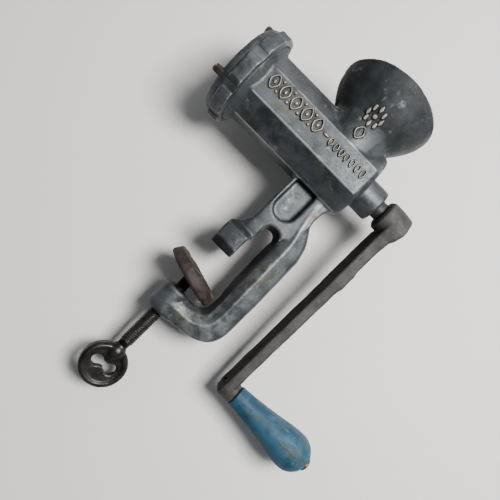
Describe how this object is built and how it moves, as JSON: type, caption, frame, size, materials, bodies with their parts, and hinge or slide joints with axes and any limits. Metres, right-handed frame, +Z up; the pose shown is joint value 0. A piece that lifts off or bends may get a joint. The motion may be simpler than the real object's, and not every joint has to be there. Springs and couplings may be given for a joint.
{
  "type": "meat mincer",
  "caption": "Clamp-on hand-cranked cast-iron meat mincer with a faceted barrel, flared hopper, lobed ring nut, turned painted grip and table-clamp screw.",
  "frame": {"origin": "middle of the jaw's seat, where it stands on the table top, on the clamp screw's axis", "axes": "+X along the barrel towards the crank, +Z up, the barrel's flat side with the relief faces -Y"},
  "size_m": [0.2418, 0.0815, 0.3013],
  "materials": {
    "tinned_casting": "worn tinned grey iron with brown and green tarnish and bright rubbed edges",
    "tinned_ring": "worn tinned iron, rusty dark front lip",
    "tinned_screw": "tinned iron, worn",
    "bare_steel": "bare dull steel",
    "plate_steel": "ground steel plate, dull",
    "crank_iron": "matt dark iron",
    "spindle_steel": "dark steel",
    "painted_wood": "teal-blue paint on turned wood, worn to olive and brown patches",
    "dark_screw": "oily dark gunmetal steel",
    "rusty_pad": "rusty brown iron"
  },
  "bodies": {
    "casting": {"body_casting": "tinned_casting", "plate_peg": "bare_steel"},
    "rotor": {"feed_screw": "tinned_screw", "thrust_washer": "bare_steel", "knife_stud": "bare_steel", "cross_knife": "bare_steel", "crank_arm": "crank_iron", "crank_set_screw": "bare_steel", "grip_spindle": "spindle_steel", "grip_washer": "spindle_steel"},
    "grip": {"wooden_grip": "painted_wood"},
    "plate": {"cutting_plate": "plate_steel"},
    "ring": {"ring_nut": "tinned_ring"},
    "screw_carrier": {"pad_rivet": "dark_screw"},
    "screw": {"clamp_screw": "dark_screw"},
    "pad": {"swivel_pad": "rusty_pad"}
  },
  "joints": [
    {"name": "crank_turn", "type": "hinge", "parent": "casting", "child": "rotor", "pos_m": [0, 0, 0.1], "axis": [1, 0, 0], "continuous": true},
    {"name": "grip_spin", "type": "hinge", "parent": "rotor", "child": "grip", "pos_m": [0.1, 0, -0.065], "axis": [1, 0, 0], "continuous": true},
    {"name": "plate_out", "type": "slide", "parent": "casting", "child": "plate", "axis": [-1, 0, 0], "range_m": [0, 0.0121]},
    {"name": "ring_turn", "type": "hinge", "parent": "plate", "child": "ring", "pos_m": [-0.075, 0, 0.1], "axis": [-1, 0, 0], "range_deg": [0, 1440]},
    {"name": "clamp_travel", "type": "slide", "parent": "casting", "child": "screw_carrier", "axis": [0, 0, 1], "range_m": [0, 0.0152]},
    {"name": "screw_turn", "type": "hinge", "parent": "screw_carrier", "child": "screw", "pos_m": [0, 0, -0.1], "axis": [0, 0, 1], "range_deg": [0, 3421]},
    {"name": "pad_tilt", "type": "hinge", "parent": "screw_carrier", "child": "pad", "pos_m": [0, 0, -0.028], "axis": [0, 1, 0], "range_deg": [-30, 0]}
  ],
  "couplings": [
    {"joint": "plate_out", "follows": "ring_turn", "m_per_rad": 0.00047746},
    {"joint": "screw_turn", "follows": "clamp_travel", "rad_per_m": 3927}
  ]
}
